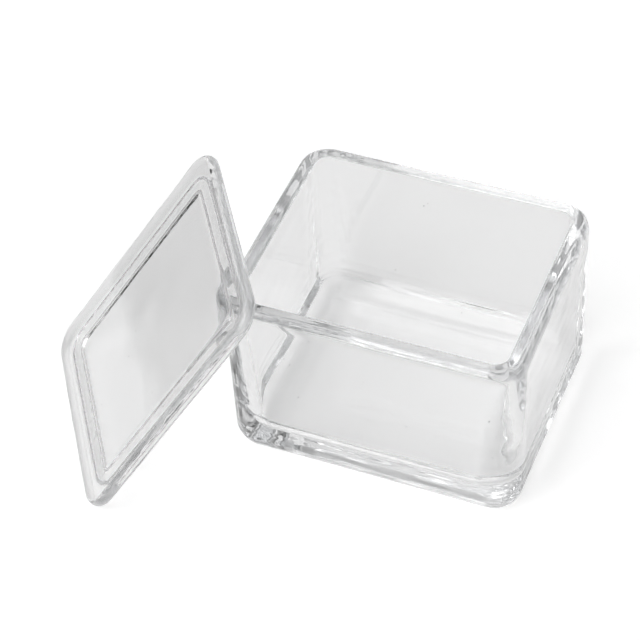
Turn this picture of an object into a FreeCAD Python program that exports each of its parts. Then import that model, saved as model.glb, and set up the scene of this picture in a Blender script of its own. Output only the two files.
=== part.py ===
"""Slide staining jar: a rectangular pressed glass jar with its loose glass lid leaning against it.

Units are millimetres and +Z is up. The origin is the centre of the jar's underside, X runs along
the jar's long side. Each node is one piece of glass and is written to its own STEP file.
"""
import FreeCAD
import Part
from FreeCAD import Placement, Rotation, Vector

import math
import os

# ---- driving dimensions -------------------------------------------------------------------------
# jar, outside
JAR_LENGTH = 105.0          # along X, at the top of the walls
JAR_WIDTH = 86.0            # along Y, at the top of the walls
JAR_HEIGHT = 71.0
CORNER_RADIUS = 10.7        # upright outside corners, seen from above
FOOT_RADIUS = 8.3           # rounding between the underside and the walls
DRAFT = 0.004               # how far a wall leans in per millimetre of depth (mould draft)
# jar, inside
RIM_WALL = 6.1              # wall thickness at the rim
BASE_THICKNESS = 8.6
FLOOR_FILLET = 9.0          # between the inner floor and the inner walls
FLOOR_CORNER = 10.6         # upright inside corners at the floor; they are sharper at the rim
INNER_DRAFT = 0.003
# jar, rim section
RIM_OUT_WIDTH = 3.0         # outer rounding of the rim, measured across the wall
RIM_OUT_DROP = 4.7          # the same rounding, measured down the wall
RIM_IN_RADIUS = 1.2
# lid plate
LID_LENGTH = 104.0
LID_WIDTH = 85.0
LID_THICKNESS = 5.0
LID_CORNER_RADIUS = 10.2
# locating ring under the lid, drops inside the jar's mouth
RING_CLEARANCE = 0.8        # to the mouth, each side
RING_WALL = 5.0
RING_DEPTH = 2.6
RING_INNER_RADIUS = 2.6      # upright corners inside the ring; outside they are concentric
RING_EDGE = 1.1             # rounding of the ring's lower edges
RING_ROOT = 0.9             # fillet where the ring meets the plate
# how the lid leans: its lower short edge stands on the table, its back rests on the jar's rim
LEAN_TILT = 52.85           # degrees up from lying flat
LEAN_TURN = -56.5           # degrees about +Z from the jar's X axis to the lid's short edge
LID_CENTRE_X = -80.4
LID_CENTRE_Y = -35.6

# ---- derived ------------------------------------------------------------------------------------
CORNER_X = JAR_LENGTH / 2 - CORNER_RADIUS      # centre lines of the upright corners
CORNER_Y = JAR_WIDTH / 2 - CORNER_RADIUS
MOUTH_LENGTH = JAR_LENGTH - 2 * RIM_WALL
MOUTH_WIDTH = JAR_WIDTH - 2 * RIM_WALL


def arc(start, middle, end):
    """Circular arc edge through three points of the XZ plane."""
    p = [Vector(x, 0, z) for x, z in (start, middle, end)]
    return Part.Arc(*p).toShape()


def line(start, end):
    """Straight edge between two points of the XZ plane."""
    return Part.makeLine(Vector(start[0], 0, start[1]), Vector(end[0], 0, end[1]))


def quarter_ellipse(centre, across, up):
    """Quarter ellipse in the XZ plane, taller than wide, from straight out along +X to straight up."""
    middle = Vector(centre[0], 0, centre[1])
    curve = Part.Ellipse(middle + Vector(0, 0, up), middle - Vector(across, 0, 0), middle)
    return Part.ArcOfEllipse(curve, -math.pi / 2, 0).toShape()


def fillet_arc(centre, radius, from_angle, to_angle):
    """Arc about a centre in the XZ plane, angles in degrees from +X towards +Z."""
    def at(degrees):
        a = math.radians(degrees)
        return centre[0] + radius * math.cos(a), centre[1] + radius * math.sin(a)
    return arc(at(from_angle), at((from_angle + to_angle) / 2), at(to_angle)), at(from_angle), at(to_angle)


def carried_round(section, half_x, half_y, core_low, core_high):
    """Carry a section round a rounded rectangle and fill its middle.

    The section lies in the XZ plane with its x measured outwards from a corner's centre line; it is
    extruded along the four sides and turned through a quarter at each corner.
    """
    up = Vector(0, 0, 1)
    pieces = [Part.makeBox(2 * half_x, 2 * half_y, core_high - core_low,
                           Vector(-half_x, -half_y, core_low))]
    for quarter in range(4):
        along, out = (half_y, half_x) if quarter % 2 == 0 else (half_x, half_y)
        side = section.extrude(Vector(0, 2 * along, 0))
        side.translate(Vector(out, -along, 0))
        side.rotate(Vector(0, 0, 0), up, 90 * quarter)
        corner = section.revolve(Vector(0, 0, 0), up, 90)
        corner.translate(Vector(out, along, 0))
        corner.rotate(Vector(0, 0, 0), up, 90 * quarter)
        pieces += [side, corner]
    return pieces[0].multiFuse(pieces[1:]).removeSplitter()


def jar_section():
    """Outside section of the jar, filled in to a corner's centre line."""
    r, h = CORNER_RADIUS, JAR_HEIGHT
    # underside, foot rounding tangent to the drafted wall, wall, elliptical rim rounding
    s = math.sqrt(1 + DRAFT ** 2)
    wall_height = h - RIM_OUT_DROP
    foot = (r - DRAFT * (wall_height - FOOT_RADIUS) - FOOT_RADIUS * s, FOOT_RADIUS)
    lean = math.degrees(math.atan(DRAFT))
    foot_arc, foot_start, foot_end = fillet_arc(foot, FOOT_RADIUS, -90, -lean)
    rim_low = (r, wall_height)
    rim_top = (r - RIM_OUT_WIDTH, h)
    rim = quarter_ellipse((rim_top[0], wall_height), RIM_OUT_WIDTH, RIM_OUT_DROP)
    edges = [line((0, 0), foot_start), foot_arc, line(foot_end, rim_low), rim,
             line(rim_top, (0, h)), line((0, h), (0, 0))]
    return Part.Face(Part.Wire(edges))


def rounded_outline(length_x, length_y, radius, height):
    """Closed outline of a rounded rectangle at a height."""
    hx, hy = length_x / 2, length_y / 2
    cx, cy = hx - radius, hy - radius
    edges = []
    for quarter in range(4):
        out, along, run = (hx, cy, cx) if quarter % 2 == 0 else (hy, cx, cy)
        turn = Rotation(Vector(0, 0, 1), 90 * quarter)
        lift = Vector(0, 0, height)
        side = [Vector(out, -along, 0), Vector(out, along, 0)]
        centre, end = Vector(run, along, 0), Vector(run, along + radius, 0)
        middle = centre + Vector(radius, radius, 0) * math.sqrt(0.5)
        a, b, c, d = [turn.multVec(p) + lift for p in side + [middle, end]]
        edges += [Part.makeLine(a, b), Part.Arc(b, c, d).toShape()]
    return Part.Wire(edges)


def jar_cavity():
    """The room inside the jar, from the rim down to the rounded edge of the floor."""
    def outline(height):
        """Outline of the cavity at a height, with its walls leaning and its corners opening."""
        depth = JAR_HEIGHT - height
        share = depth / (JAR_HEIGHT - BASE_THICKNESS)
        mouth_radius = CORNER_RADIUS - RIM_WALL
        radius = mouth_radius + share * (FLOOR_CORNER - mouth_radius)
        lean = 2 * INNER_DRAFT * depth
        return rounded_outline(MOUTH_LENGTH - lean, MOUTH_WIDTH - lean, radius, height)

    room = Part.makeLoft([outline(BASE_THICKNESS), outline(JAR_HEIGHT)], True, True)
    return room.makeFillet(FLOOR_FILLET, edges_at(room, BASE_THICKNESS))


def make_jar():
    """The jar: thick base, drafted walls and a fire-polished rim in one piece."""
    block = carried_round(jar_section(), CORNER_X, CORNER_Y, 0, JAR_HEIGHT)
    jar = block.cut(jar_cavity()).removeSplitter()
    mouth = [e for e in edges_at(jar, JAR_HEIGHT) if e.BoundBox.XMax < MOUTH_LENGTH / 2 + 0.01
             and e.BoundBox.XMin > -MOUTH_LENGTH / 2 - 0.01 and e.BoundBox.YMax < MOUTH_WIDTH / 2 + 0.01
             and e.BoundBox.YMin > -MOUTH_WIDTH / 2 - 0.01]
    return jar.makeFillet(RIM_IN_RADIUS, mouth)


def rounded_block(length_x, length_y, low, high, radius):
    """Upright block whose outline is a rounded rectangle."""
    block = Part.makeBox(length_x, length_y, high - low, Vector(-length_x / 2, -length_y / 2, low))
    upright = [e for e in block.Edges if abs(e.tangentAt(e.FirstParameter).z) > 0.99]
    return block.makeFillet(radius, upright)


def edges_at(shape, height):
    """Edges that lie wholly at one height."""
    return [e for e in shape.Edges
            if abs(e.BoundBox.ZMin - height) < 1e-4 and abs(e.BoundBox.ZMax - height) < 1e-4]


def lid_plate():
    """Flat plate with a fully rounded edge, centred on its own mid-plane."""
    half = LID_THICKNESS / 2
    flat = LID_CORNER_RADIUS - half
    edges = [line((0, -half), (flat, -half)), arc((flat, -half), (flat + half, 0), (flat, half)),
             line((flat, half), (0, half)), line((0, half), (0, -half))]
    section = Part.Face(Part.Wire(edges))
    return carried_round(section, LID_WIDTH / 2 - LID_CORNER_RADIUS,
                         LID_LENGTH / 2 - LID_CORNER_RADIUS, -half, half)


def lid_ring():
    """The locating ring, from inside the plate down to its rounded lower edge."""
    low = -LID_THICKNESS / 2 - RING_DEPTH
    width = MOUTH_WIDTH - 2 * RING_CLEARANCE
    length = MOUTH_LENGTH - 2 * RING_CLEARANCE
    outer = rounded_block(width, length, low, 0, RING_INNER_RADIUS + RING_WALL)
    inner = rounded_block(width - 2 * RING_WALL, length - 2 * RING_WALL, low - 1, 1, RING_INNER_RADIUS)
    ring = outer.cut(inner)
    return ring.makeFillet(RING_EDGE, edges_at(ring, low))


def make_lid():
    """The lid in its own axes: X its short side, Y its long side, Z out of its top face."""
    lid = lid_plate().fuse(lid_ring()).removeSplitter()
    under = -LID_THICKNESS / 2
    roots = [e for e in edges_at(lid, under) if e.BoundBox.XMax < MOUTH_WIDTH / 2
             and e.BoundBox.XMin > -MOUTH_WIDTH / 2 and e.BoundBox.YMax < MOUTH_LENGTH / 2
             and e.BoundBox.YMin > -MOUTH_LENGTH / 2]
    return lid.makeFillet(RING_ROOT, roots)


def lean_placement():
    """Where the lid stands: lower short edge on the table, tilted up and turned towards the jar."""
    edge = LID_THICKNESS / 2
    height = (LID_LENGTH / 2 - edge) * math.sin(math.radians(LEAN_TILT)) + edge
    turn = Rotation(Vector(0, 0, 1), LEAN_TURN).multiply(Rotation(Vector(1, 0, 0), LEAN_TILT))
    return Placement(Vector(LID_CENTRE_X, LID_CENTRE_Y, height), turn)


def main():
    """Build both pieces of glass and write them out."""
    os.makedirs("parts", exist_ok=True)
    jar = make_jar()
    lid = make_lid()
    lid.Placement = lean_placement().multiply(lid.Placement)
    jar.exportStep("parts/jar.step")
    lid.exportStep("parts/lid.step")


main()
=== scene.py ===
"""Slide staining jar: a rectangular pressed glass jar with its loose glass lid leaning on the rim.

Everything is in metres in the frame of the solids: the origin is the centre of the jar's underside,
+Z is up and X runs along the jar's long side.
"""

import logging
import math
from collections.abc import Callable
from dataclasses import dataclass, field
from enum import Enum

import bmesh
import bpy
from mathutils import Matrix, Vector, noise


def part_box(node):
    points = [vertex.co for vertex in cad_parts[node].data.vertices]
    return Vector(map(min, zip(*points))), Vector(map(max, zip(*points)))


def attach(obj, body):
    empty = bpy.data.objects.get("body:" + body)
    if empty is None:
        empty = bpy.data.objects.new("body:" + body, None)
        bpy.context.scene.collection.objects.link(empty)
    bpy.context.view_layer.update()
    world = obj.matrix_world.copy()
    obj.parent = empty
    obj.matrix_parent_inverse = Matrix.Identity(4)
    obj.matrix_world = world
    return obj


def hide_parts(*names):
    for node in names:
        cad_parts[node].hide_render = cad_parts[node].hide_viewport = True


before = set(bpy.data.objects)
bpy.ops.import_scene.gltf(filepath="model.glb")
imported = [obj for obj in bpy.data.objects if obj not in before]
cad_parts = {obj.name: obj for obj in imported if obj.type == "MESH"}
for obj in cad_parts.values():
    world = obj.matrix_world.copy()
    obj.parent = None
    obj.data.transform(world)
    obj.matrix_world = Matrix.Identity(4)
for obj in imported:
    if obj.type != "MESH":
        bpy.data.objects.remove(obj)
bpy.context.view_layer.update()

log = logging.getLogger("staining_jar")
MM = 0.001
MERGE = 1e-6
UP = Vector((0.0, 0.0, 1.0))

Verts = list[bmesh.types.BMVert]
Socket = bpy.types.NodeSocket
Colour = tuple[float, float, float, float]


class Body(Enum):
    """Rigid bodies that pieces ride on."""

    ROOT = "root"


class Slot(Enum):
    """Material slots of the record."""

    JAR = "jar_glass"
    LID = "lid_glass"


# ---- shaping tools ------------------------------------------------------------------------------


class SectionPen:
    """Draws an open section in the XZ plane, with x measured outwards from a corner's centre line."""

    def __init__(self, bm: bmesh.types.BMesh, x: float, z: float) -> None:
        """Set the pen down.

        Args:
            bm: Mesh that takes the section.
            x: Distance out from the corner's centre line.
            z: Height.
        """
        self.bm = bm
        self.tip = bm.verts.new((x, 0.0, z))
        self.verts = [self.tip]

    def advance(self, steps: int, centre: Vector, angle: float, stride: Vector) -> Verts:
        """Spin the tip on.

        Args:
            steps: Number of steps.
            centre: Centre of the turn.
            angle: Whole angle of the turn.
            stride: Shift at each step.

        Returns:
            The vertices this made.
        """
        known = set(self.bm.verts)
        last = bmesh.ops.spin(self.bm, geom=[self.tip], cent=centre, axis=(0.0, -1.0, 0.0), dvec=stride,
                              angle=angle, steps=steps, use_merge=False, use_duplicate=False)["geom_last"]
        made = [v for v in self.bm.verts if v not in known]
        self.tip = next(g for g in last if isinstance(g, bmesh.types.BMVert))
        self.verts += made
        return made

    def line(self, x: float, z: float, pitch: float) -> Verts:
        """Draw a straight run to a point.

        Args:
            x: Distance out of the point.
            z: Height of the point.
            pitch: Longest step along the run.

        Returns:
            The vertices of the run.
        """
        run = Vector((x, 0.0, z)) - self.tip.co
        steps = max(1, math.ceil(run.length / pitch))
        return self.advance(steps, Vector(), 0.0, run / steps)

    def turn(self, x: float, z: float, degrees: float, steps: int) -> Verts:
        """Draw an arc about a centre.

        Args:
            x: Distance out of the centre.
            z: Height of the centre.
            degrees: Angle turned from +X towards +Z.
            steps: Number of chords.

        Returns:
            The vertices of the arc.
        """
        return self.advance(steps, Vector((x, 0.0, z)), math.radians(degrees), Vector())


@dataclass(frozen=True)
class RoundedTrack:
    """A rounded rectangle that a section is carried round, given by its corners' centre lines."""

    half_x: float
    half_y: float
    steps_x: int
    steps_y: int
    steps_corner: int

    def carry(self, bm: bmesh.types.BMesh, verts: Verts) -> None:
        """Carry a section round one quarter: half a side, a corner and half the next side.

        Args:
            bm: Mesh that holds the section.
            verts: The section's vertices, drawn at the origin.
        """
        bmesh.ops.translate(bm, vec=(self.half_x, 0.0, 0.0), verts=verts)
        geom = list(verts) + list({e for v in verts for e in v.link_edges})
        corner = Vector((self.half_x, self.half_y, 0.0))
        legs = ((0.0, self.half_y, self.steps_y, 0.0), (0.0, 0.0, self.steps_corner, math.pi / 2),
                (-self.half_x, 0.0, self.steps_x, 0.0))
        for dx, dy, steps, angle in legs:
            stride = (dx / steps, dy / steps, 0.0)
            geom = bmesh.ops.spin(bm, geom=geom, cent=corner, axis=UP, dvec=stride, angle=angle,
                                  steps=steps, use_merge=False, use_duplicate=False)["geom_last"]
        bmesh.ops.remove_doubles(bm, verts=bm.verts, dist=MERGE)

    def fill_core(self, bm: bmesh.types.BMesh, height: float) -> None:
        """Fill the quarter between the corner's centre line and the middle with an even grid.

        Args:
            bm: Mesh with the open quarter.
            height: Height of the open quarter.
        """
        def on_start(v: bmesh.types.BMVert) -> bool:
            """Whether a vertex lies on the side where the fill starts."""
            return abs(v.co.x - self.half_x) < MERGE and abs(v.co.z - height) < MERGE

        start = [e for e in bm.edges if e.is_boundary and all(on_start(v) for v in e.verts)]
        geom = start + list({v for e in start for v in e.verts})
        bmesh.ops.spin(bm, geom=geom, cent=(0, 0, 0), axis=UP, dvec=(-self.half_x / self.steps_x, 0, 0),
                       angle=0.0, steps=self.steps_x, use_merge=False, use_duplicate=False)
        bmesh.ops.remove_doubles(bm, verts=bm.verts, dist=MERGE)


def complete_round(bm: bmesh.types.BMesh) -> None:
    """Mirror a finished quarter to the whole round and turn its faces outwards.

    Args:
        bm: Mesh that holds the quarter with positive X and Y.
    """
    for axis in ("X", "Y"):
        everything = list(bm.verts) + list(bm.edges) + list(bm.faces)
        bmesh.ops.mirror(bm, geom=everything, matrix=Matrix.Identity(4), merge_dist=MERGE, axis=axis)
    bmesh.ops.remove_doubles(bm, verts=bm.verts, dist=MERGE)
    bmesh.ops.recalc_face_normals(bm, faces=bm.faces)


def ease(low: float, high: float, value: float) -> float:
    """Rise smoothly from 0 at low to 1 at high."""
    t = max(0.0, min(1.0, (value - low) / (high - low)))
    return t * t * (3.0 - 2.0 * t)


@dataclass(frozen=True)
class Zone:
    """A stretch over which an effect comes in or goes out."""

    low: float
    high: float

    def rise(self, value: float) -> float:
        """Share of an effect that comes in over the zone."""
        return ease(self.low, self.high, value)

    def fall(self, value: float) -> float:
        """Share of an effect that goes out over the zone."""
        return 1.0 - self.rise(value)


@dataclass(frozen=True)
class Wave:
    """One layer of the slight unevenness that pressing leaves in glass."""

    reach: tuple[float, float, float]
    depth: float
    seed: float
    gain: float = 1.6

    def at(self, p: Vector) -> float:
        """Depth of the wave at a point, from zero to the full depth."""
        x, y, z = self.reach
        q = Vector((p.x / x + self.seed, p.y / y - self.seed, p.z / z + 2.0 * self.seed))
        return self.depth * (0.5 + 0.5 * max(-1.0, min(1.0, self.gain * noise.noise(q))))


def press_waves(bm: bmesh.types.BMesh, depth_at: Callable[[Vector, Vector], float]) -> None:
    """Sink the surface a little. It only ever goes inwards.

    Args:
        bm: Closed mesh with outward normals.
        depth_at: Gives the depth at a point with a normal.
    """
    bm.normal_update()
    moves = [(v, -v.normal * depth_at(v.co, v.normal)) for v in bm.verts]
    for vert, move in moves:
        vert.co += move


def finish_piece(bm: bmesh.types.BMesh, name: str, material: bpy.types.Material,
                 stands_for: str) -> bpy.types.Object:
    """Turn a closed bmesh into a smooth piece that rides on the root body.

    Args:
        bm: The shape, in place.
        name: Name of the piece.
        material: Its finish.
        stands_for: The solid it stands for.

    Returns:
        The new object.
    """
    for face in bm.faces:
        face.smooth = True
    mesh = bpy.data.meshes.new(name)
    bm.to_mesh(mesh)
    bm.free()
    mesh.materials.append(material)
    piece = bpy.data.objects.new(name, mesh)
    bpy.context.scene.collection.objects.link(piece)
    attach(piece, Body.ROOT.value)
    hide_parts(stands_for)
    log.info("%s: %d vertices", name, len(mesh.vertices))
    return piece


# ---- finishes -----------------------------------------------------------------------------------


def feed(tree: bpy.types.NodeTree, value: Socket | float, socket: Socket) -> None:
    """Link a socket to a value, or write the number into it."""
    if isinstance(value, Socket):
        tree.links.new(value, socket)
    else:
        socket.default_value = value


def link_math(tree: bpy.types.NodeTree, operation: str, first: Socket, second: Socket | float,
              third: float = 0.0) -> Socket:
    """Add a maths node.

    Args:
        tree: Node tree that takes it.
        operation: Its operation.
        first: Socket for the first value.
        second: Socket or number for the second value.
        third: Number for the third value, where the operation takes one.

    Returns:
        Its result.
    """
    node = tree.nodes.new("ShaderNodeMath")
    node.operation = operation
    tree.links.new(first, node.inputs[0])
    feed(tree, second, node.inputs[1])
    node.inputs[2].default_value = third
    return node.outputs[0]


def link_range(tree: bpy.types.NodeTree, value: Socket, source: tuple[float, float],
               result: tuple[float, float]) -> Socket:
    """Map a value smoothly from one range to another.

    Args:
        tree: Node tree that takes the node.
        value: Socket to map.
        source: Where the value starts and ends.
        result: What it becomes there.

    Returns:
        The mapped value.
    """
    node = tree.nodes.new("ShaderNodeMapRange")
    node.interpolation_type = "SMOOTHSTEP"
    node.inputs["From Min"].default_value, node.inputs["From Max"].default_value = source
    node.inputs["To Min"].default_value, node.inputs["To Max"].default_value = result
    tree.links.new(value, node.inputs["Value"])
    return node.outputs["Result"]


def link_blend(tree: bpy.types.NodeTree, share: Socket, start: Socket | float, end: float) -> Socket:
    """Blend from one level to another.

    Args:
        tree: Node tree that takes the node.
        share: Socket for the share of the end level.
        start: Socket or number for the start level.
        end: The end level.

    Returns:
        The blended level.
    """
    node = tree.nodes.new("ShaderNodeMix")
    node.data_type = "FLOAT"
    tree.links.new(share, node.inputs["Factor"])
    feed(tree, start, node.inputs["A"])
    node.inputs["B"].default_value = end
    return node.outputs["Result"]


@dataclass(frozen=True)
class PressMarks:
    """Marks that pressing leaves in glass: patches of faint haze and tiny dark seeds."""

    name: str = "press_marks"
    haze_size: float = 60.0
    haze_share: tuple[float, float] = (0.45, 0.75)
    haze: tuple[float, float] = (0.0, 0.012)
    seed_cells: float = 150.0
    seed_size: tuple[float, float] = (0.05, 0.03)
    seed_share: tuple[float, float] = (0.62, 0.66)
    seed_cover: float = 0.75
    seed_tint: Colour = (0.1, 0.1, 0.1, 1.0)

    def build(self) -> bpy.types.NodeTree:
        """Build the group once, or fetch it.

        Returns:
            The group, with Haze and Tint out.
        """
        group = bpy.data.node_groups.get(self.name)
        if group is not None:
            return group
        group = bpy.data.node_groups.new(self.name, "ShaderNodeTree")
        group.interface.new_socket("Clear", in_out="INPUT", socket_type="NodeSocketColor")
        group.interface.new_socket("Haze", in_out="OUTPUT", socket_type="NodeSocketFloat")
        group.interface.new_socket("Tint", in_out="OUTPUT", socket_type="NodeSocketColor")
        nodes, links = group.nodes, group.links
        ends = nodes.new("NodeGroupOutput")
        starts = nodes.new("NodeGroupInput")
        where = nodes.new("ShaderNodeTexCoord").outputs["Object"]
        haze = nodes.new("ShaderNodeTexNoise")
        haze.inputs["Scale"].default_value = self.haze_size
        seeds = nodes.new("ShaderNodeTexVoronoi")
        seeds.inputs["Scale"].default_value = self.seed_cells
        links.new(where, haze.inputs["Vector"])
        links.new(where, seeds.inputs["Vector"])
        clouded = link_range(group, haze.outputs["Fac"], self.haze_share, self.haze)
        links.new(clouded, ends.inputs["Haze"])
        parts = nodes.new("ShaderNodeSeparateColor")
        links.new(seeds.outputs["Color"], parts.inputs["Color"])
        chosen = link_range(group, parts.outputs[0], self.seed_share, (0.0, 1.0))
        near = link_range(group, seeds.outputs["Distance"], self.seed_size, (0.0, self.seed_cover))
        tint = nodes.new("ShaderNodeMix")
        tint.data_type = "RGBA"
        tint.inputs[7].default_value = self.seed_tint
        links.new(link_math(group, "MULTIPLY", chosen, near), tint.inputs[0])
        links.new(starts.outputs["Clear"], tint.inputs[6])
        links.new(tint.outputs[2], ends.inputs["Tint"])
        return group


@dataclass(frozen=True)
class PressedGlass:
    """Clear pressed glass that greys a little with thickness."""

    name: str
    clear: Colour = (0.985, 0.985, 0.985, 1.0)
    ior: float = 1.5
    depth_tint: Colour = (0.79, 0.80, 0.81, 1.0)
    depth_density: float = 5.0

    def build(self) -> bpy.types.Material:
        """Build the material.

        Returns:
            The finished material.
        """
        material = bpy.data.materials.new(self.name)
        material.use_nodes = True
        nodes, links = material.node_tree.nodes, material.node_tree.links
        shader = nodes["Principled BSDF"]
        shader.inputs["Transmission Weight"].default_value = 1.0
        shader.inputs["IOR"].default_value = self.ior
        marks = nodes.new("ShaderNodeGroup")
        marks.node_tree = PressMarks().build()
        marks.inputs["Clear"].default_value = self.clear
        depth = nodes.new("ShaderNodeVolumeAbsorption")
        depth.inputs["Color"].default_value = self.depth_tint
        depth.inputs["Density"].default_value = self.depth_density
        links.new(marks.outputs["Haze"], shader.inputs["Roughness"])
        links.new(marks.outputs["Tint"], shader.inputs["Base Color"])
        links.new(depth.outputs["Volume"], nodes["Material Output"].inputs["Volume"])
        return material


# ---- the jar ------------------------------------------------------------------------------------


@dataclass
class Jar:
    """The jar: thick base, drafted walls and a fire-polished rim in one piece of glass."""

    corner: float = 10.7 * MM
    foot: float = 8.3 * MM
    draft: float = 0.004
    rim_wall: float = 6.1 * MM
    base: float = 8.6 * MM
    floor_curve: float = 9.0 * MM
    floor_corner: float = 10.6 * MM
    inner_draft: float = 0.003
    rim_out_width: float = 3.0 * MM
    rim_out_drop: float = 4.7 * MM
    rim_in: float = 1.2 * MM
    pitch: float = 1.25 * MM
    wall_pitch: float = 0.9 * MM
    rim_pitch: float = 0.75 * MM
    fine_pitch: float = 0.6 * MM
    fine_top: float = 24 * MM
    corner_steps: int = 16
    foot_steps: int = 32
    rim_steps: int = 12
    rim_in_steps: int = 6
    curve_steps: int = 30
    broad: Wave = Wave((18 * MM, 18 * MM, 40 * MM), 0.12 * MM, 3.1)
    drawn: Wave = Wave((34 * MM, 34 * MM, 2.8 * MM), 0.26 * MM, 8.7)
    creased: Wave = Wave((14 * MM, 14 * MM, 1.4 * MM), 0.08 * MM, 2.9)
    mottled: Wave = Wave((8 * MM, 8 * MM, 6 * MM), 0.10 * MM, 1.3)
    ragged: Wave = Wave((2.6 * MM, 2.6 * MM, 3.2 * MM), 0.27 * MM, 6.1)
    streaky: Wave = Wave((16 * MM, 16 * MM, 5 * MM), 0.02 * MM, 9.4)
    foot_zone: Zone = Zone(10 * MM, 24 * MM)
    rim_zone: Zone = Zone(62 * MM, 66 * MM)
    side_zone: Zone = Zone(32 * MM, 42 * MM)
    end_zone: Zone = Zone(23 * MM, 32 * MM)
    body_zone: Zone = Zone(60 * MM, 64 * MM)
    wall_zone: Zone = Zone(16 * MM, 24 * MM)
    rough_zone: Zone = Zone(12 * MM, 20 * MM)
    back_zone: Zone = Zone(-5 * MM, 15 * MM)
    right_zone: Zone = Zone(-10 * MM, 10 * MM)
    flat_share: float = 0.1
    rim_share: float = 0.24
    corner_share: float = 0.5
    opened_share: float = 1.5
    front_share: float = 0.08
    outer_share: tuple[float, float] = (0.45, 0.08)
    line_depth: float = 0.09 * MM
    line_width: float = 0.8 * MM
    line_inset: float = 0.6 * MM
    line_below: float = 0.5 * MM
    line_reach: float = 1 * MM
    line_zone: Zone = Zone(1 * MM, 3 * MM)
    low: Vector = field(default_factory=lambda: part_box("jar")[0])
    high: Vector = field(default_factory=lambda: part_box("jar")[1])

    def track(self) -> RoundedTrack:
        """The track through the upright corners' centre lines."""
        half_x, half_y = self.high.x - self.corner, self.high.y - self.corner
        steps_x, steps_y = math.ceil(half_x / self.pitch), math.ceil(half_y / self.pitch)
        return RoundedTrack(half_x, half_y, steps_x, steps_y, self.corner_steps)

    def inner_corner(self, z: float) -> float:
        """Radius of the section's inner wall about the outer corner's centre line, at a height."""
        return self.corner - self.rim_wall - self.inner_draft * (self.high.z - z)

    def open_corners(self, bm: bmesh.types.BMesh, track: RoundedTrack) -> None:
        """Let the inner corners grow rounder with depth and the floor's curve run wide of them.

        Args:
            bm: The quarter, with its inner walls still drawn about the outer corner's centre line.
            track: The track it was carried round.
        """
        mouth = self.corner - self.rim_wall
        top = self.base + self.floor_curve
        start = self.inner_corner(top)
        for vert in bm.verts:
            x, y, z = vert.co
            over = Vector((max(x - track.half_x, 0.0), max(y - track.half_y, 0.0)))
            out = over.length
            if z < self.base - MERGE or out > mouth + self.opened_share * self.rim_in:
                continue
            depth = (self.high.z - max(z, top)) / (self.high.z - self.base)
            radius = mouth + depth * (self.floor_corner - mouth)
            if z >= top - MERGE:
                radius += out - self.inner_corner(z)
                inset = 0.0
            else:
                radius *= out / start
                inset = (self.floor_curve - start) * (1.0 - out / start)
            back = radius - out + inset
            way = over / out if out > MERGE else over
            near = Vector((min(x, track.half_x) * (1.0 - back / track.half_x),
                           min(y, track.half_y) * (1.0 - back / track.half_y)))
            vert.co.xy = near + way * radius

    def section(self, bm: bmesh.types.BMesh) -> Verts:
        """Draw the section from the middle of the underside round to the middle of the floor.

        Args:
            bm: Mesh that takes it.

        Returns:
            Its vertices.
        """
        r, h, p = self.corner, self.high.z, self.pitch
        lean = math.atan(self.draft)
        wall_top = h - self.rim_out_drop
        foot_x = r - self.draft * (wall_top - self.foot) - self.foot / math.cos(lean)
        inner = r - self.rim_wall
        pen = SectionPen(bm, 0.0, 0.0)
        pen.line(foot_x, 0.0, p)
        pen.turn(foot_x, self.foot, 90.0 - math.degrees(lean), self.foot_steps)
        pen.line(r - self.draft * (wall_top - self.fine_top), self.fine_top, self.fine_pitch)
        pen.line(r, wall_top, self.wall_pitch)
        rim = pen.turn(r - self.rim_out_width, wall_top, 90.0, self.rim_steps)
        bmesh.ops.scale(bm, verts=rim, vec=(1.0, 1.0, self.rim_out_drop / self.rim_out_width),
                        space=Matrix.Translation((0.0, 0.0, -wall_top)))
        pen.line(inner + self.rim_in, h, self.rim_pitch)
        pen.turn(inner + self.rim_in, h - self.rim_in, 90.0, self.rim_in_steps)
        curve_top = self.base + self.floor_curve
        start = self.inner_corner(curve_top)
        pen.line(start + self.inner_draft * (self.fine_top - curve_top), self.fine_top, self.wall_pitch)
        pen.line(start, curve_top, self.fine_pitch)
        curve = pen.turn(0.0, curve_top, -90.0, self.curve_steps)
        bmesh.ops.scale(bm, verts=curve, vec=(1.0, 1.0, self.floor_curve / start),
                        space=Matrix.Translation((0.0, 0.0, -curve_top)))
        return pen.verts

    def depth_at(self, p: Vector, normal: Vector) -> float:
        """How far the pressing has left the surface sunk.

        Args:
            p: Point on the surface.
            normal: Its normal.

        Returns:
            The depth.
        """
        upright = 1.0 - (1.0 - self.flat_share) * abs(normal.z) ** 3
        corner = self.side_zone.rise(abs(p.x)) * self.end_zone.rise(abs(p.y)) * upright
        lines = self.foot_zone.fall(p.z) * upright * (self.drawn.at(p) + self.creased.at(p))
        marked = max(self.rim_share * self.rim_zone.rise(p.z),
                     self.corner_share * corner * self.wall_zone.rise(p.z))
        rough = corner * self.body_zone.fall(p.z) * self.rough_zone.rise(p.z) * self.roughness(p)
        return (self.broad.at(p) + upright * self.streaky.at(p) + lines + marked * self.mottled.at(p)
                + rough * self.ragged.at(p) + self.mould_lines(p))

    def roughness(self, p: Vector) -> float:
        """Share of the ragged marks at a point: full in the cavity's back corners, less elsewhere."""
        share = self.front_share + (1.0 - self.front_share) * self.back_zone.rise(p.y)
        if self.inside(p):
            return share
        left, right = self.outer_share
        return share * (left + (right - left) * self.right_zone.rise(p.x))

    def inside(self, p: Vector) -> bool:
        """Whether a point of the walls belongs to the cavity."""
        over = Vector((max(abs(p.x) - self.high.x + self.corner, 0.0),
                       max(abs(p.y) - self.high.y + self.corner, 0.0)))
        return over.length < self.corner - 0.5 * self.rim_wall

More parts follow.
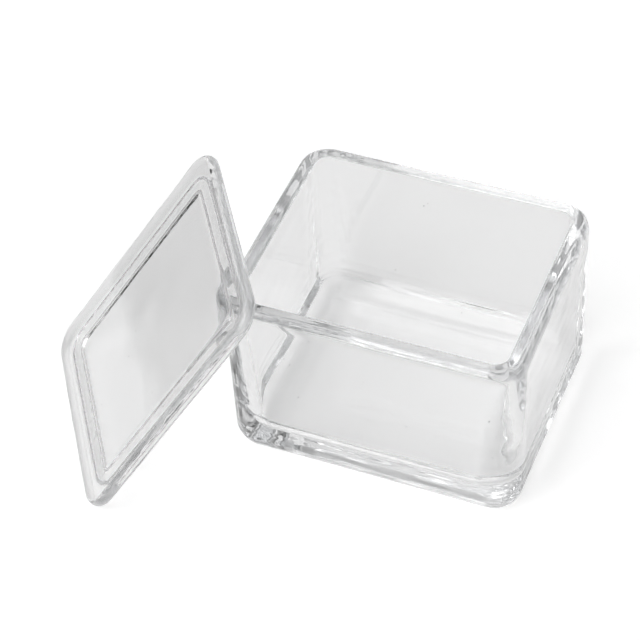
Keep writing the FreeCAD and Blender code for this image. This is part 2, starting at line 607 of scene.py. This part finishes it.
    def mould_lines(self, p: Vector) -> float:
        """Depth of the two fine lines that the plunger leaves above and inside the floor's curve."""
        wide = abs(p.x) - (self.high.x - self.rim_wall)
        deep = abs(p.y) - (self.high.y - self.rim_wall)
        if p.z < self.base - self.line_below or max(wide, deep) > self.line_reach:
            return 0.0
        upper = (p.z - self.base - self.floor_curve) / self.line_width
        lower = (max(wide, deep) + self.floor_curve - self.line_inset) / self.line_width
        near_floor = self.line_zone.fall(p.z - self.base)
        return self.line_depth * (math.exp(-upper * upper) + near_floor * math.exp(-lower * lower))

    def build(self, material: bpy.types.Material) -> bpy.types.Object:
        """Build the jar.

        Args:
            material: Its finish.

        Returns:
            The piece.
        """
        bm = bmesh.new()
        track = self.track()
        track.carry(bm, self.section(bm))
        track.fill_core(bm, 0.0)
        track.fill_core(bm, self.base)
        self.open_corners(bm, track)
        complete_round(bm)
        press_waves(bm, self.depth_at)
        return finish_piece(bm, "glass_jar", material, "jar")


# ---- the lid ------------------------------------------------------------------------------------


@dataclass
class Lid:
    """The lid: a flat plate with a rounded edge and a locating ring under it."""

    length: float = 104.0 * MM
    width: float = 85.0 * MM
    thickness: float = 5.0 * MM
    corner: float = 10.2 * MM
    ring_half_x: float = 36.1 * MM
    ring_half_y: float = 45.6 * MM
    ring_wall: float = 5.0 * MM
    ring_depth: float = 2.6 * MM
    ring_inner: float = 2.6 * MM
    ring_edge: float = 1.1 * MM
    ring_root: float = 0.9 * MM
    ring_gap: float = 0.3 * MM
    tilt: float = 52.85
    turn: float = -56.5
    place_x: float = -80.4 * MM
    place_y: float = -35.6 * MM
    pitch: float = 1.1 * MM
    side_pitch: float = 0.44 * MM
    corner_steps: int = 12
    edge_steps: int = 16
    root_steps: int = 5
    ring_edge_steps: int = 6
    broad: Wave = Wave((20 * MM, 20 * MM, 20 * MM), 0.16 * MM, 5.3)
    mottled: Wave = Wave((4 * MM, 4 * MM, 4 * MM), 0.06 * MM, 1.9)
    ragged: Wave = Wave((2.4 * MM, 2.4 * MM, 2.4 * MM), 0.14 * MM, 4.4)
    ring_zone: float = 0.5 * MM
    edge_zone: Zone = Zone(-4 * MM, -1 * MM)

    def plate(self, bm: bmesh.types.BMesh, steps: tuple[int, int, int]) -> RoundedTrack:
        """Carry the plate's section, open inside its underside where the ring begins.

        Args:
            bm: Mesh that takes it.
            steps: Steps along X, along Y and round a corner.

        Returns:
            The plate's track.
        """
        half, r = self.thickness / 2, self.corner
        pen = SectionPen(bm, 0.0, half)
        pen.line(r - half, half, self.pitch)
        pen.turn(r - half, 0.0, -180.0, self.edge_steps)
        ring_side = r - (self.width / 2 - self.ring_half_x)
        pen.line(ring_side + self.ring_root + self.ring_gap, -half, self.pitch)
        track = RoundedTrack(self.width / 2 - r, self.length / 2 - r, *steps)
        track.carry(bm, pen.verts)
        track.fill_core(bm, half)
        return track

    def ring(self, bm: bmesh.types.BMesh, steps: tuple[int, int, int]) -> RoundedTrack:
        """Carry the ring's section round its own corners and close the panel inside it.

        Args:
            bm: Mesh that takes it.
            steps: Steps along X, along Y and round a corner.

        Returns:
            The ring's track.
        """
        top, low = -self.thickness / 2, -self.thickness / 2 - self.ring_depth
        outer, inner = self.ring_inner + self.ring_wall, self.ring_inner
        root, edge = self.ring_root, self.ring_edge
        pen = SectionPen(bm, outer + root, top)
        pen.turn(outer + root, top - root, 90.0, self.root_steps)
        pen.line(outer, low + edge, self.side_pitch)
        pen.turn(outer - edge, low + edge, -90.0, self.ring_edge_steps)
        pen.line(inner + edge, low, self.pitch)
        pen.turn(inner + edge, low + edge, -90.0, self.ring_edge_steps)
        pen.line(inner, top - root, self.side_pitch)
        pen.turn(inner - root, top - root, 90.0, self.root_steps)
        pen.line(0.0, top, self.pitch)
        track = RoundedTrack(self.ring_half_x - outer, self.ring_half_y - outer, *steps)
        track.carry(bm, pen.verts)
        track.fill_core(bm, top)
        return track

    def depth_at(self, p: Vector, normal: Vector) -> float:
        """How far the pressing has left the surface sunk.

        Args:
            p: Point on the surface, before the lid is leant on the jar.
            normal: Its normal, which makes no difference here.

        Returns:
            The depth.
        """
        under = -self.thickness / 2
        ring = Zone(under - self.ring_zone, under).fall(p.z)
        edge = max(self.edge_zone.rise(abs(p.x) - self.width / 2),
                   self.edge_zone.rise(abs(p.y) - self.length / 2))
        return self.broad.at(p) + max(ring, edge) * self.mottled.at(p) + ring * self.ragged.at(p)

    def lean(self) -> Matrix:
        """Where the lid stands: lower short edge on the table, turned towards the jar."""
        edge = self.thickness / 2
        height = (self.length / 2 - edge) * math.sin(math.radians(self.tilt)) + edge
        tilted = Matrix.Rotation(math.radians(self.tilt), 4, "X")
        turned = Matrix.Rotation(math.radians(self.turn), 4, "Z") @ tilted
        return Matrix.Translation((self.place_x, self.place_y, height)) @ turned

    def build(self, material: bpy.types.Material) -> bpy.types.Object:
        """Build the lid.

        Args:
            material: Its finish.

        Returns:
            The piece.
        """
        steps = (math.ceil((self.width / 2 - self.corner) / self.pitch),
                 math.ceil((self.length / 2 - self.corner) / self.pitch), self.corner_steps)
        bm = bmesh.new()
        self.plate(bm, steps)
        self.ring(bm, steps)
        complete_round(bm)
        bmesh.ops.bridge_loops(bm, edges=[e for e in bm.edges if e.is_boundary])
        bmesh.ops.recalc_face_normals(bm, faces=bm.faces)
        press_waves(bm, self.depth_at)
        bmesh.ops.transform(bm, matrix=self.lean(), verts=bm.verts)
        return finish_piece(bm, "glass_lid", material, "lid")


# ---- studio -------------------------------------------------------------------------------------


@dataclass(frozen=True)
class RoomPatch:
    """A round patch of the studio's walls or ceiling with its own light level and a soft edge."""

    azimuth: float
    elevation: float
    reach: float
    edge: float
    level: float

    def direction(self) -> Vector:
        """Unit vector towards the patch. Azimuth 0 is +X and 90 is +Y."""
        a, e = math.radians(self.azimuth), math.radians(self.elevation)
        return Vector((math.cos(a) * math.cos(e), math.sin(a) * math.cos(e), math.sin(e)))

    def lay_over(self, tree: bpy.types.NodeTree, looking: Socket, level: Socket | float) -> Socket:
        """Lay the patch over the room.

        Args:
            tree: The world's node tree.
            looking: Socket for the direction looked in.
            level: Socket or number for the room's level without the patch.

        Returns:
            The level with the patch.
        """
        facing = tree.nodes.new("ShaderNodeVectorMath")
        facing.operation = "DOT_PRODUCT"
        facing.inputs[1].default_value = self.direction()
        tree.links.new(looking, facing.inputs[0])
        rim = (math.cos(math.radians(self.reach + self.edge)), math.cos(math.radians(self.reach)))
        share = link_range(tree, facing.outputs["Value"], rim, (0.0, 1.0))
        return link_blend(tree, share, level, self.level)


@dataclass(frozen=True)
class StudioFloor:
    """Matt white table top with a little even glow. Its far left end carries painted shade with a cloudy
    edge: reflections and the view through the glass see it dark, while the camera sees it white.
    """

    name: str = "white_table"
    paint: float = 0.85
    glow_seen: float = 0.41
    glow_in_glass: float = 0.205
    # Painted shade: the table's far left goes dark between these X values, and a noise cloud drifts the
    # edge of the shade.
    shade_edge: tuple[float, float] = (-0.36, -0.22)
    shade_cloud: float = 9.0
    shade_drift: float = 0.30

    def build(self) -> bpy.types.Material:
        """Build the material.

        Returns:
            The finished material.
        """
        material = bpy.data.materials.new(self.name)
        material.use_nodes = True
        tree = material.node_tree
        nodes, links = tree.nodes, tree.links
        nodes.clear()
        out = nodes.new("ShaderNodeOutputMaterial")
        both = nodes.new("ShaderNodeAddShader")
        paint = nodes.new("ShaderNodeBsdfDiffuse")
        glow = nodes.new("ShaderNodeEmission")
        path = nodes.new("ShaderNodeLightPath")
        place = nodes.new("ShaderNodeSeparateXYZ")
        where = nodes.new("ShaderNodeTexCoord").outputs["Object"]
        cloud = nodes.new("ShaderNodeTexNoise")
        cloud.inputs["Scale"].default_value = self.shade_cloud
        links.new(where, cloud.inputs["Vector"])
        links.new(where, place.inputs[0])
        middle = -0.5 * self.shade_drift
        drift = link_math(tree, "MULTIPLY_ADD", cloud.outputs["Fac"], self.shade_drift, middle)
        drifted = link_math(tree, "ADD", place.outputs["X"], drift)
        # Painted shade mask: 1 on the lit table and 0 on its painted-dark far left. It darkens the paint
        # and the glow seen in glass.
        near = link_range(tree, drifted, self.shade_edge, (0.0, 1.0))
        # The camera always sees the full white paint. Reflected, refracted and bounced rays see the
        # painted shade.
        shown = link_math(tree, "MAXIMUM", path.outputs["Is Camera Ray"], near)
        links.new(link_math(tree, "MULTIPLY", shown, self.paint), paint.inputs["Color"])
        glossy, passing = path.outputs["Is Glossy Ray"], path.outputs["Is Transmission Ray"]
        in_glass = link_math(tree, "MULTIPLY", link_math(tree, "MAXIMUM", glossy, passing), near)
        lit = link_math(tree, "MULTIPLY", in_glass, self.glow_in_glass)
        seen = link_math(tree, "MULTIPLY", path.outputs["Is Camera Ray"], self.glow_seen)
        links.new(link_math(tree, "ADD", seen, lit), glow.inputs["Strength"])
        links.new(paint.outputs[0], both.inputs[0])
        links.new(glow.outputs[0], both.inputs[1])
        links.new(both.outputs[0], out.inputs["Surface"])
        return material


@dataclass
class Studio:
    """White table, an even room with soft lights in it, and the camera."""

    table_half: float = 0.60
    table_gap: float = 0.15 * MM
    bounces: int = 40
    matte_bounces: int = 2
    room: float = 0.56
    patches: tuple[RoomPatch, ...] = (
        RoomPatch(200.0, 80.0, 22.0, 30.0, 0.70), RoomPatch(112.0, 62.0, 5.0, 11.0, 0.34),
        RoomPatch(10.0, 37.0, 14.0, 44.0, 0.10), RoomPatch(34.0, 46.0, 9.0, 10.0, 0.02),
        RoomPatch(250.0, 42.0, 13.0, 20.0, 3.0), RoomPatch(102.0, 41.0, 4.0, 6.0, 1.2),
        RoomPatch(190.0, -22.0, 34.0, 10.0, 0.0), RoomPatch(222.0, -22.0, 30.0, 8.0, 0.0))
    target: Vector = field(default_factory=lambda: Vector((-0.03283, -0.00166, 0.030)))
    azimuth: float = 24.568
    elevation: float = 46.076
    distance: float = 0.8131
    roll: float = -3.825
    lens: float = 131.19
    sensor: float = 36.0
    sight: float = 20.0

    def lay_table(self) -> None:
        """Lay the table top a hair under the glass."""
        bm = bmesh.new()
        bmesh.ops.create_grid(bm, x_segments=1, y_segments=1, size=self.table_half)
        bmesh.ops.translate(bm, verts=bm.verts, vec=(0.0, 0.0, -self.table_gap))
        mesh = bpy.data.meshes.new("table")
        bm.to_mesh(mesh)
        bm.free()
        mesh.materials.append(StudioFloor().build())
        table = bpy.data.objects.new("table", mesh)
        bpy.context.scene.collection.objects.link(table)

    def light_room(self) -> None:
        """Give the room its even level, its dim corners and its soft lights."""
        world = bpy.data.worlds.new("studio_room")
        bpy.context.scene.world = world
        world.use_nodes = True
        nodes, links = world.node_tree.nodes, world.node_tree.links
        background = nodes["Background"]
        background.inputs["Color"].default_value = (1.0, 1.0, 1.0, 1.0)
        looking = nodes.new("ShaderNodeTexCoord").outputs["Generated"]
        level = self.room
        for patch in self.patches:
            level = patch.lay_over(world.node_tree, looking, level)
        seen = nodes.new("ShaderNodeLightPath").outputs["Is Camera Ray"]
        links.new(link_blend(world.node_tree, seen, level, 1.0), background.inputs["Strength"])

    def place_camera(self) -> None:
        """Stand the camera in front of the jar, looking down into it."""
        a, e = math.radians(self.azimuth), math.radians(self.elevation)
        back = Vector((math.sin(a) * math.cos(e), -math.cos(a) * math.cos(e), math.sin(e)))
        data = bpy.data.cameras.new("camera")
        data.lens = self.lens
        data.sensor_width = self.sensor
        data.clip_end = self.sight
        camera = bpy.data.objects.new("camera", data)
        bpy.context.scene.collection.objects.link(camera)
        look = back.to_track_quat("Z", "Y").to_matrix().to_4x4()
        spun = look @ Matrix.Rotation(math.radians(self.roll), 4, "Z")
        camera.matrix_world = Matrix.Translation(self.target + back * self.distance) @ spun
        bpy.context.scene.camera = camera

    def follow_light(self) -> None:
        """Let light run on inside the glass until it leaves, and keep its bright lines sharp."""
        cycles = bpy.context.scene.cycles
        cycles.max_bounces = self.bounces
        cycles.transmission_bounces = self.bounces
        cycles.glossy_bounces = self.bounces
        cycles.diffuse_bounces = self.matte_bounces
        cycles.blur_glossy = 0.0

    def build(self) -> None:
        """Set up the studio."""
        self.lay_table()
        self.light_room()
        self.place_camera()
        self.follow_light()
        bpy.context.scene.view_settings.view_transform = "Standard"


def main() -> None:
    """Build the pieces, dress them and set up the studio."""
    logging.basicConfig(level=logging.INFO)
    Jar().build(PressedGlass("clear_jar_glass").build())
    Lid().build(PressedGlass("clear_lid_glass").build())
    Studio().build()


if __name__ == "__main__":
    main()
